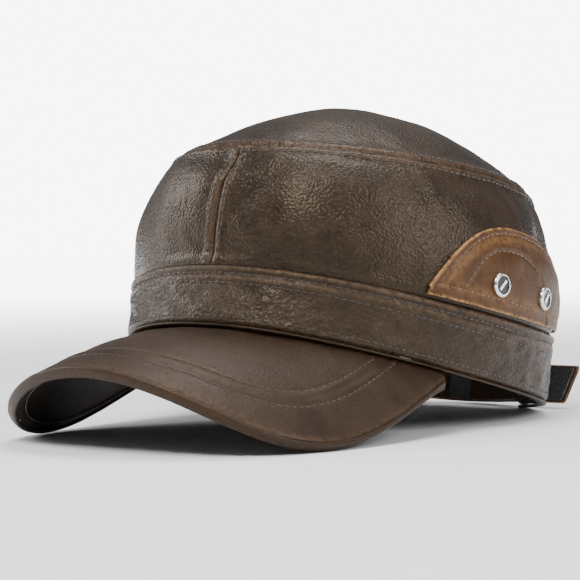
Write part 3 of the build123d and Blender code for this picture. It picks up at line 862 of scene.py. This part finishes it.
def visor_roll(u, v):
    t = -VISOR_T_SHEET + 2 * VISOR_T_SHEET * u
    turn = 2 * math.pi * v
    across = np.sign(np.cos(turn)) * np.abs(np.cos(turn)) ** 0.75
    height = np.sign(np.sin(turn)) * np.abs(np.sin(turn)) ** 0.75
    wobble = slow_noise(edge_line(t), 10.0, 51) * 0.12
    return visor_at(t, 1.25 + 1.25 * across, -2.2 + (2.45 + wobble) * height)


visor_top = sheet_piece("visor_cover_top", 420, 90, visor_place, 1.2, visor_wear)
dress(visor_top, VISOR_LEATHER, "cap", ["visor_top_cover"])
visor_under = sheet_piece("visor_cover_under", 300, 60, under_place, 0.9)
dress(visor_under, UNDER_LEATHER, "cap", ["visor_under_cover"])
visor_rim = tube_piece("visor_edge_roll", 420, 16, visor_roll)
dress(visor_rim, VISOR_LEATHER, "cap", ["visor_edge"])
print("visor", [len(p.data.polygons) for p in (visor_top, visor_under, visor_rim)])

# %% [markdown]
# A tan half-moon patch is sewn to each side, just above the headband. It is thicker, oiled
# leather with streaks and a pale cut edge. Foam under it lifts its middle, and a second sewn
# line follows its outline further in.

# %% Side patches
PATCH_FRONT, PATCH_BACK, PATCH_PEAK = 60.5, 130.0, 95.0
PATCH_LOW, PATCH_TOP, PATCH_CORNER = 1.05, 2.15, 0.12
PATCH_OUT = 2.7
LEVEL_MM = 30.0


def patch_height(angle):
    """Wall level of the patch's upper edge."""
    ahead = np.clip((PATCH_PEAK - angle) / (PATCH_PEAK - PATCH_FRONT), 0, 1)
    behind = np.clip((angle - PATCH_PEAK) / (PATCH_BACK - PATCH_PEAK), 0, 1)
    low = PATCH_LOW + PATCH_CORNER
    fall = np.where(angle < PATCH_PEAK, ahead ** 2.8, behind ** 2.3)
    return low + (PATCH_TOP - low) * (1 - fall)


def patch_edge(angle, level):
    """Rough distance in millimetres in from the patch's curved edge."""
    over = (patch_height(angle) - level) * LEVEL_MM
    slope = (patch_height(angle + 0.5) - patch_height(angle - 0.5)) * LEVEL_MM / DEGREE_MM
    return over / np.sqrt(1 + slope * slope)


def patch_relief(angle, level):
    """How far the patch stands out from the wall."""
    points = wall(angle, level)
    edge = patch_edge(angle, level)
    foot = (level - PATCH_LOW) * LEVEL_MM
    out = 2.0 + 0.7 * smooth(2.5, 9.0, np.minimum(edge, foot + 1.5))
    out = out - 0.3 * ridge(edge - 2.6, 0.7) - 0.45 * ridge(inner_edge(angle, level), 0.9)
    out = out - 0.3 * ridge(foot - 4.5, 0.7) - 0.5 * (1 - smooth(0, 0.9, np.minimum(edge, foot)))
    return out + slow_noise(points, 13.0, 61) * 0.3


INNER_MIDDLE, INNER_SPAN, INNER_TOP = 88.0, 20.5, 1.80


def inner_height(angle):
    """Wall level of the second sewn line, a smaller half-moon round the rivets."""
    return 0.98 + (INNER_TOP - 0.98) * (1 - np.minimum(np.abs((angle - INNER_MIDDLE) / INNER_SPAN), 1) ** 2.6)


def inner_edge(angle, level):
    """Rough distance in millimetres in from the second sewn line."""
    slope = (inner_height(angle + 0.5) - inner_height(angle - 0.5)) * LEVEL_MM / DEGREE_MM
    return (inner_height(angle) - level) * LEVEL_MM / np.sqrt(1 + slope * slope)


def patch_surface(sign):
    """A patch's surface as a function of (u, v)."""
    def place(u, v):
        angle = PATCH_FRONT + (PATCH_BACK - PATCH_FRONT) * (u if sign > 0 else 1 - u)
        level = PATCH_LOW + (patch_height(angle) - PATCH_LOW) * v
        return wall_out(sign * angle, level, patch_relief(angle, level))
    return place


def patch_wear(u, v):
    angle = PATCH_FRONT + (PATCH_BACK - PATCH_FRONT) * u
    level = PATCH_LOW + (patch_height(angle) - PATCH_LOW) * v
    edge = np.minimum(patch_edge(angle, level), (level - PATCH_LOW) * LEVEL_MM)
    ends = np.minimum(u, 1 - u) * 130.0
    return 1.3 * (1 - smooth(0.0, 1.5, np.minimum(edge, ends))) + 0.3 * ridge(edge - 5.0, 2.0)


for hand, sign in (("left", 1), ("right", -1)):
    patch = sheet_piece(f"patch_{hand}", 260, 80, patch_surface(sign), 1.5,
                        lambda u, v, s=sign: patch_wear(u if s > 0 else 1 - u, v))
    dress(patch, PATCH_LEATHER, "cap", [f"side_patch_{hand}"])
    print(patch.name, len(patch.data.polygons), "faces")

# %% [markdown]
# The cut edges round the back opening are hidden by a folded tape. Its outer lip lies on the wall
# and is sewn through, so the tape is rolled from a U-shaped section carried round the opening.

# %% Tape round the back opening
TAPE_SECTION = ((0.2, 0.1), (-4.0, 0.3), (-4.4, 0.8), (-3.9, 1.35), (-1.0, 1.5), (0.7, 1.4), (1.15, 0.8),
                (1.2, -2.0), (1.15, -4.9), (0.7, -5.4), (-1.0, -5.4), (-3.9, -5.1), (-4.2, -4.7), (0.2, -4.5))
ARCH_LOW = 2.4


def wall_spot(x, z):
    """Angle and level of the back wall at a sideways place and a height."""
    angle, level = 180.0 - x * 0.6, np.full_like(x, 0.5)
    for _ in range(30):
        here = wall(angle, level)
        turn = wall(angle + 0.5, level)[..., 0] - wall(angle - 0.5, level)[..., 0]
        rise = (wall(angle, level + 0.05)[..., 2] - wall(angle, level - 0.05)[..., 2]) / 0.1
        angle = angle + 0.7 * (x - here[..., 0]) / turn
        level = level + 0.7 * (z + SHIFT[2] - here[..., 2]) / rise
    return angle, level


def arch_outline(u, inset):
    """Outline of the opening, from the wearer's right foot to the left, moved inwards."""
    half, rise = ARCH_HALF_WIDTH - inset, ARCH_HEIGHT - inset
    leg, arc = ARCH_FOOT - ARCH_LOW, math.pi / 4 * (half + rise)
    place = np.abs(2 * u - 1) * (leg + arc)
    hand = np.where(u > 0.5, 1.0, -1.0)
    turn = np.minimum(place / arc, 1.0) * math.pi / 2
    return hand * half * np.sin(turn), ARCH_FOOT + rise * np.cos(turn) - np.maximum(place - arc, 0)


def arch_at(u, inset, out):
    """A place on the wall beside the opening's outline."""
    angle, level = wall_spot(*arch_outline(u, inset))
    return wall(angle, level) + np.stack([0 * u, out, 0 * u], -1)


def arch_roll(u, v):
    section = np.array(TAPE_SECTION + TAPE_SECTION[:1])
    run = v * len(TAPE_SECTION)
    inset = np.interp(run, np.arange(len(section)), section[:, 0])
    out = np.interp(run, np.arange(len(section)), section[:, 1])
    return arch_at(0.004 + 0.992 * u, inset, out)


arch_roll_piece = tube_piece("arch_tape_roll", 180, 28, arch_roll)
dress(arch_roll_piece, EDGE_LEATHER, "cap", ["arch_tape"])
print("arch tape", len(arch_roll_piece.data.polygons), "faces")

# %% [markdown]
# Inside, black satin lines the crown. It is cut a little large, so it lies in soft vertical
# folds, and its seams are covered by narrow tapes. A woven sweatband covers the inside of the
# headband, with a sewn line along both edges.

# %% Lining and sweatband
LINING_DEPTH = 2.4
SWEAT_DEPTH = 2.8


def lining_place(sign):
    """One side panel of the lining, laid inside the wall with soft folds."""
    def place(u, v):
        level = 1.02 + (SEAM_LEVEL - 1.06) * v
        angle = panel_angle(sign, u, level)
        points = wall(angle, level)
        folds = slow_noise(points * (1.0, 1.0, 0.22), 11.0, 71) * 0.5 * np.sin(math.pi * v) ** 0.5
        off = seam_distance(angle, level)
        seam = 0.35 * ridge(off - 2, 1.6)
        return wall_out(angle, level, crown_dents(angle, level) - LINING_DEPTH - 0.35 - np.abs(folds) - seam)
    return place


def interlining_place(sign):
    """One side panel of the felt that stiffens the crown, just under the leather and its dents."""
    def place(u, v):
        level = 1.02 + (SEAM_LEVEL - 1.06) * v
        angle = panel_angle(sign, u, level)
        return wall_out(angle, level, crown_dents(angle, level) - 1.75)
    return place


for hand, sign in (("left", 1), ("right", -1)):
    panel = sheet_piece(f"lining_{hand}", 260, 50, lining_place(sign), 0.4, cutter=CUTTER)
    dress(panel, LINING, "cap", [f"crown_lining_{hand}"])
    felt_panel = sheet_piece(f"interlining_{hand}", 180, 36, interlining_place(sign), 0.6, cutter=CUTTER)
    dress(felt_panel, INTERLINING, "cap", [f"crown_interlining_{hand}"])


def lining_top_place(u, v):
    x, y = on_disc(u, v)
    x, y = x * 0.965, y * 0.968
    flat = np.stack([x * 75, y * 90, x * 0], -1)
    folds = slow_noise(flat, 16.0, 73) * 0.5
    return top_surface(x, y, LINING_DEPTH + 0.7 + np.abs(folds))


def interlining_top_place(u, v):
    x, y = on_disc(u, v)
    return top_surface(x * 0.975, y * 0.975, 1.75)


felt_top = sheet_piece("interlining_top", 90, 90, interlining_top_place, 0.6)
dress(felt_top, INTERLINING, "cap", ["crown_top_interlining"])
lining_top = sheet_piece("lining_top", 100, 100, lining_top_place, 0.4)
dress(lining_top, LINING, "cap", ["crown_top_lining"])


def sweat_place(u, v):
    angle = -BAND_END + 2 * BAND_END * u
    level = 0.01 + 0.98 * v
    from_edge = np.minimum(v, 1 - v) * BAND_MM
    waves = slow_noise(wall(angle, 0.5), 14.0, 75) * 0.2
    return wall_out(angle, level, -SWEAT_DEPTH - 0.12 * ridge(from_edge - 2.5, 0.8) + waves - 0.15)


sweat = sheet_piece("sweatband_inner", 420, 20, sweat_place, 0.75, cutter=CUTTER)
dress(sweat, SWEAT_CLOTH, "cap", ["sweatband"])
print("lining and sweatband", len(sweat.data.polygons))

# %% [markdown]
# The back is closed by a long leather strap, sewn in at the wearer's right. It carries hook tape
# on its inner side and crosses the opening over a short tab with loop tape, sewn in at the
# wearer's left. Its free end stands away from the band. Each part rides on its own CAD body.

# %% Strap and tab
HINGE_X, TIP_X, TAB_TIP_X = 34.6, 58.0, 1.5
STRAP_WIDTH, STRAP_OUT, STRAP_LIFT = 18.5, 2.6, 0.3
STRAIGHT_X, FLARE, EASE, INSET = 20.0, 0.62, 28.0, 3.4
SLANT = 0.32


def band_curve(x, offset):
    """Plan of the back curve at a sideways place."""
    return (RINGS[0, 1] + offset) * np.sqrt(1 - (x / (RINGS[0, 0] + offset)) ** 2)


def strap_plan(x, offset, free):
    """Plan of a strap. The free one starts inside the band and ends straight, off the band."""
    if not free:
        return band_curve(x, offset)
    inset = INSET * (1 - smooth(0, EASE, x + HINGE_X))
    start = band_curve(STRAIGHT_X, offset)
    slope = (start - band_curve(STRAIGHT_X - 0.1, offset)) / 0.1
    run = x - STRAIGHT_X
    tail = start + slope * run * (1 - FLARE * run / (TIP_X - STRAIGHT_X))
    return np.where(x <= STRAIGHT_X, band_curve(np.minimum(x, STRAIGHT_X), offset - inset), tail)


def strap_at(x, rise, offset, free):
    """A place on a strap, so far above its lower edge."""
    y = strap_plan(x, offset, free)
    centre, height, slope = RINGS[0, 2:5]
    foot = np.stack([x, centre + y, height + slope * y + STRAP_LIFT], -1) + SHIFT
    return foot + unit(np.array([0.0, -slope, 1.0])) * np.asarray(rise)[..., None]


def strap_sheet(x_low, x_high, rise_low, rise_high, offset, free, slant, rounding=0.0, wave=0.0):
    """Surface of a strap as a function of (u, v)."""
    def place(u, v):
        rise = rise_low + (rise_high - rise_low) * v
        corner = rounding * (1 - np.sqrt(np.maximum(0, 1 - np.abs(2 * v - 1) ** 6)))
        tip = x_high + slant * rise - corner if free else x_high
        start = x_low if free else x_low + corner
        x = start + (tip - start) * u
        across = np.minimum(v, 1 - v) * (rise_high - rise_low)
        edge = np.minimum(across, np.minimum(u, 1 - u) * (x_high - x_low) + 0.4)
        puff = 0.16 * ridge(edge - 4.2, 2.2) - 0.22 * ridge(edge - 2.4, 0.6)
        puff = puff - 0.4 * (1 - smooth(0, 0.8, edge))
        return strap_at(x, rise, offset + wave * puff, free)
    return place


def strap_wear(u, v):
    return 1.1 * (1 - smooth(0.0, 0.07, np.minimum(v, 1 - v))) + 1.3 * (1 - smooth(0.0, 0.02, 1 - u))


STRAP_OUTER = strap_sheet(-HINGE_X, TIP_X, 0.0, STRAP_WIDTH, STRAP_OUT, True, SLANT, 1.2, 1.0)
# The grid runs from right to left with its upper side first, so its normals face outwards.
strap_out = sheet_piece("strap_outer", 200, 36, lambda u, v: STRAP_OUTER(u, 1 - v), 1.3,
                        strap_wear)
dress(strap_out, STRAP_LEATHER, "strap", ["strap_leather"])
hook_place = strap_sheet(-HINGE_X + 22, TIP_X - 1.8, 1.2, STRAP_WIDTH - 1.2,
                         STRAP_OUT - 1.5, True, SLANT, 0.5)
hooks = sheet_piece("strap_hooks", 160, 24, lambda u, v: hook_place(u, 1 - v), 0.95)
dress(hooks, HOOKS, "strap", ["strap_hook_tape"])
loop_place = strap_sheet(TAB_TIP_X + 1.5, HINGE_X - 4, 1.5, STRAP_WIDTH - 1.5, -0.42, False, 0.0, 0.5)
loops = sheet_piece("tab_loops", 100, 24, lambda u, v: loop_place(u, 1 - v), 0.95)
dress(loops, LOOPS, "tab", ["tab_loop_tape"])
TAB_OUTER = strap_sheet(TAB_TIP_X, HINGE_X, 0.3, STRAP_WIDTH - 0.3, -1.62, False, 0.0, 1.6)
tab_out = sheet_piece("tab_outer", 100, 30, lambda u, v: TAB_OUTER(u, 1 - v), 1.25,
                      lambda u, v: 1.1 * (1 - smooth(0.0, 0.07, np.minimum(v, 1 - v))))
dress(tab_out, STRAP_LEATHER, "tab", ["tab_leather"])
print("strap", [round(c * 1000, 1) for c in strap_out.dimensions])

# %% [markdown]
# The rivets, the board and the layers that stay hidden keep their CAD shapes. They only get
# finishes: a plated rim, dark enamel, bare steel, foam and board.

# %% Carried-over pieces
KEPT = {
    "rivet_rims": CHROME, "rivet_bars": CHROME, "rivet_inlays": ENAMEL, "rivet_posts": STEEL,
    "rivet_washers": STEEL, "patch_padding": FOAM,
    "headband_stiffener": BOARD, "visor_board": BOARD,
}
for name, node in NODES.items():
    for key, material in KEPT.items():
        if key in name:
            node.data.materials.clear()
            node.data.materials.append(material)
print("kept", sorted(n for n in NODES if any(k in n for k in KEPT)))

# %% [markdown]
# Each seam gets its own row of thread. A row follows a line of places on the same surface as its
# leather, so it sits in the groove that was pressed for it.

# %% Stitch rows
def as_surface(points_of):
    """Line builder for any surface of two plain coordinates, one of them in degrees."""
    def line(first, second):
        points = points_of(first, second)
        across = points_of(first + 0.3, second) - points_of(first - 0.3, second)
        upward = points_of(first, second + 0.01) - points_of(first, second - 0.01)
        normals = unit(np.cross(across, upward))
        return points + normals * 0.08, normals
    return line


crown_at = as_surface(crown_surface)
band_at = as_surface(band_surface)
crown_rows = []
for half in ((0.5, 179.5), (-179.5, -0.5)):
    around = np.linspace(*half, 500)
    crown_rows.append(stitch_row(*crown_at(around, SEAM_LEVEL - 3.7 / CROWN_LEVEL_MM + 0 * around)))
for at_front, low in ((True, 1.06), (False, 1.75)):
    for side in (-1, 1):
        levels = np.linspace(low, SEAM_LEVEL - 0.2, 200)
        seam = front_seam(levels) if at_front else 180.0 + 0 * levels
        crown_rows.append(stitch_row(*crown_at(seam + side * 3.8 / DEGREE_MM, levels)))
turn = np.linspace(0, 2 * math.pi, 700)
rim = 1 - 3.7 / RIM_MM
rim_line = top_surface(rim * np.cos(turn), rim * np.sin(turn))
rim_up = unit(rim_line - top_surface(rim * np.cos(turn), rim * np.sin(turn), 1.0))
crown_rows.append(stitch_row(rim_line + rim_up * 0.08, rim_up))
thread_piece("crown_stitches", crown_rows, THREAD_DARK, "cap")

band_rows = []
around = np.linspace(-152.0, 152.0, 900)
for level in (1 - 4.0 / BAND_MM, 1 - 8.8 / BAND_MM):
    band_rows.append(stitch_row(*band_at(around, level + 0 * around)))
band_rows.append(stitch_row(*band_at(around, 3.2 / BAND_MM + 0 * around)))
thread_piece("headband_stitches", band_rows, THREAD_DARK, "cap")

visor_rows = []
for row in SEWN_ROWS:
    t = np.linspace(-VISOR_T_SHEET, VISOR_T_SHEET, 700)
    t = t[visor_length(t) > sewn_reach(row, t) + 2.0]
    reach = sewn_reach(row, t)
    line = visor_at(t, reach, visor_relief(t, reach) + 0.06)
    out = unit(visor_at(t, reach, 1.0) - visor_at(t, reach, 0.0))
    visor_rows.append(stitch_row(line, out, width=0.55, height=0.4))
t = np.linspace(-VISOR_T_SHEET + 0.05, VISOR_T_SHEET - 0.05, 700)
under_line = visor_at(t, 6.5, -4.42)
visor_rows.append(stitch_row(under_line, -unit(visor_at(t, 6.5, 1.0) - visor_at(t, 6.5, 0.0))))
thread_piece("visor_stitches", visor_rows, THREAD_VISOR, "cap")

for hand, sign in (("left", 1), ("right", -1)):
    patch_rows = []
    for height_of, inset, low in ((patch_height, 2.6, 3.0), (inner_height, 0.0, 5.0)):
        angle = np.linspace(PATCH_FRONT + 0.6, PATCH_BACK - 0.6, 900)
        slope = (height_of(angle + 0.5) - height_of(angle - 0.5)) * LEVEL_MM / DEGREE_MM
        level = height_of(angle) - inset * np.sqrt(1 + slope * slope) / LEVEL_MM
        inside = level > PATCH_LOW + low / LEVEL_MM
        angle, level = angle[inside], level[inside]
        out = patch_relief(angle, level) + 0.08
        line = wall_out(sign * angle, level, out)
        patch_rows.append(stitch_row(line, wall_normal(sign * angle, level), width=0.55, height=0.42))
    angle = np.linspace(PATCH_FRONT + 1.6, PATCH_BACK - 1.6, 300)
    level = PATCH_LOW + 4.5 / LEVEL_MM + 0 * angle
    line = wall_out(sign * angle, level, patch_relief(angle, level) + 0.08)
    patch_rows.append(stitch_row(line, wall_normal(sign * angle, level), width=0.55, height=0.42))
    thread_piece(f"patch_stitches_{hand}", patch_rows, THREAD_TAN, "cap")

u = np.linspace(0.01, 0.99, 400)
arch_line = arch_at(u, -3.0 + 0 * u, 1.45 + 0 * u)
arch_rows = [stitch_row(arch_line, unit(arch_at(u, -3.0 + 0 * u, 2.0 + 0 * u) - arch_line))]
thread_piece("arch_stitches", arch_rows, THREAD_DARK, "cap")

strap_rows = []
for v in (2.4 / STRAP_WIDTH, 1 - 2.4 / STRAP_WIDTH):
    u = np.linspace(0.03, 0.97, 300)
    line = STRAP_OUTER(u, v + 0 * u)
    out = unit(strap_at(0 * u, 0 * u, 4.0, False) - strap_at(0 * u, 0 * u, 3.0, False))
    strap_rows.append(stitch_row(line + out * 0.08, out))
v = np.linspace(2.6 / STRAP_WIDTH, 1 - 2.6 / STRAP_WIDTH, 100)
line = STRAP_OUTER(0.973 + 0 * v, v)
out = unit(strap_at(0 * v, 0 * v, 4.0, False) - strap_at(0 * v, 0 * v, 3.0, False))
strap_rows.append(stitch_row(line + out * 0.08, out))
thread_piece("strap_stitches", strap_rows, THREAD_DARK, "strap")

# %% [markdown]
# A white table and four soft boxes, above and in front, at the wearer's left and right, and overhead,
# light the cap. The surround looks white but lights only gently, so the leather keeps its highlights.
# The table glows softly from well outside the cap outwards, which hides the line of the horizon.

# %% Stage, light and camera
bpy.data.objects.remove(CUTTER)
bpy.ops.object.select_all(action="DESELECT")
bpy.ops.mesh.primitive_plane_add(size=12, location=(0, 0, 0))
floor = bpy.context.object
floor.name = "table"
paper = Finish("white_paper", Roughness=0.85, Emission_Strength=7.0)
distance = paper.node("VectorMath", {"operation": "LENGTH"}, Vector=paper.place)
away = Signal(paper.tree, distance.outputs["Value"])
far = paper.steps(away, 0.35, 2.4)
lift = paper.blend(far, (0.0, 0.0, 0.0), (1.0, 1.0, 1.0))
paper.tree.links.new(lift.socket, paper.shader.inputs["Emission Color"])
shade_of_paper = paper.blend(paper.noise(30.0), (0.88, 0.88, 0.88), (0.92, 0.92, 0.92))
floor.data.materials.append(paper.out(shade_of_paper))


def soft_light(name, place, aim, size, power):
    """A square soft box that points at a place."""
    bpy.ops.object.select_all(action="DESELECT")
    bpy.ops.object.light_add(type="AREA", location=place)
    lamp = bpy.context.object
    lamp.name = name
    lamp.data.shape = "RECTANGLE"
    lamp.data.size, lamp.data.size_y = size
    lamp.data.energy = power
    lamp.rotation_mode = "QUATERNION"
    lamp.rotation_quaternion = (Vector(aim) - Vector(place)).to_track_quat("-Z", "Y")
    return lamp


soft_light("key_box", (0.25, -0.9, 1.15), (0, 0, 0.08), (0.7, 0.5), 22)
soft_light("left_box", (1.25, 0.15, 0.75), (0, 0, 0.06), (0.5, 0.8), 13)
soft_light("right_box", (-1.1, -0.35, 0.6), (0, 0, 0.06), (0.4, 0.7), 9)
soft_light("top_box", (0, 0.35, 1.4), (0, 0.02, 0.1), (1.0, 0.8), 16)
world = bpy.data.worlds.new("white_room")
bpy.context.scene.world = world
world.use_nodes = True
tree = world.node_tree
glow = tree.nodes["Background"]
glow.inputs["Color"].default_value = (1, 1, 1, 1)
glow.inputs["Strength"].default_value = 0.3
backdrop = tree.nodes.new("ShaderNodeBackground")
backdrop.inputs["Color"].default_value = (1, 1, 1, 1)
backdrop.inputs["Strength"].default_value = 8.0
seen = tree.nodes.new("ShaderNodeLightPath")
both = tree.nodes.new("ShaderNodeMixShader")
tree.links.new(seen.outputs["Is Camera Ray"], both.inputs["Fac"])
tree.links.new(glow.outputs[0], both.inputs[1])
tree.links.new(backdrop.outputs[0], both.inputs[2])
tree.links.new(both.outputs[0], tree.nodes["World Output"].inputs["Surface"])

AZIMUTH, ELEVATION = math.radians(37.955), math.radians(0.477)
DISTANCE, TILT = 944.4, 0.028
level = math.cos(ELEVATION)
back = Vector((math.sin(AZIMUTH) * level, -math.cos(AZIMUTH) * level, math.sin(ELEVATION)))
right = Vector((math.cos(AZIMUTH), math.sin(AZIMUTH), 0))
lean = Matrix.Rotation(-TILT, 3, "X")
aim = Vector((0, -20, 60))
pivot = Vector((0, -114, 0))
eye = pivot + lean @ (aim + back * DISTANCE - pivot) + Vector(SHIFT)
frame_axes = Matrix((lean @ right, lean @ back.cross(right), lean @ back)).transposed()
bpy.ops.object.select_all(action="DESELECT")
bpy.ops.object.camera_add(location=eye / 1000)
camera = bpy.context.object
camera.rotation_mode = "QUATERNION"
camera.rotation_quaternion = frame_axes.to_quaternion()
camera.data.sensor_width = 36.0
camera.data.lens = 130.2
camera.data.shift_x = -0.0432
camera.data.shift_y = 0.0111
bpy.context.scene.camera = camera
print("camera", [round(c) for c in eye])
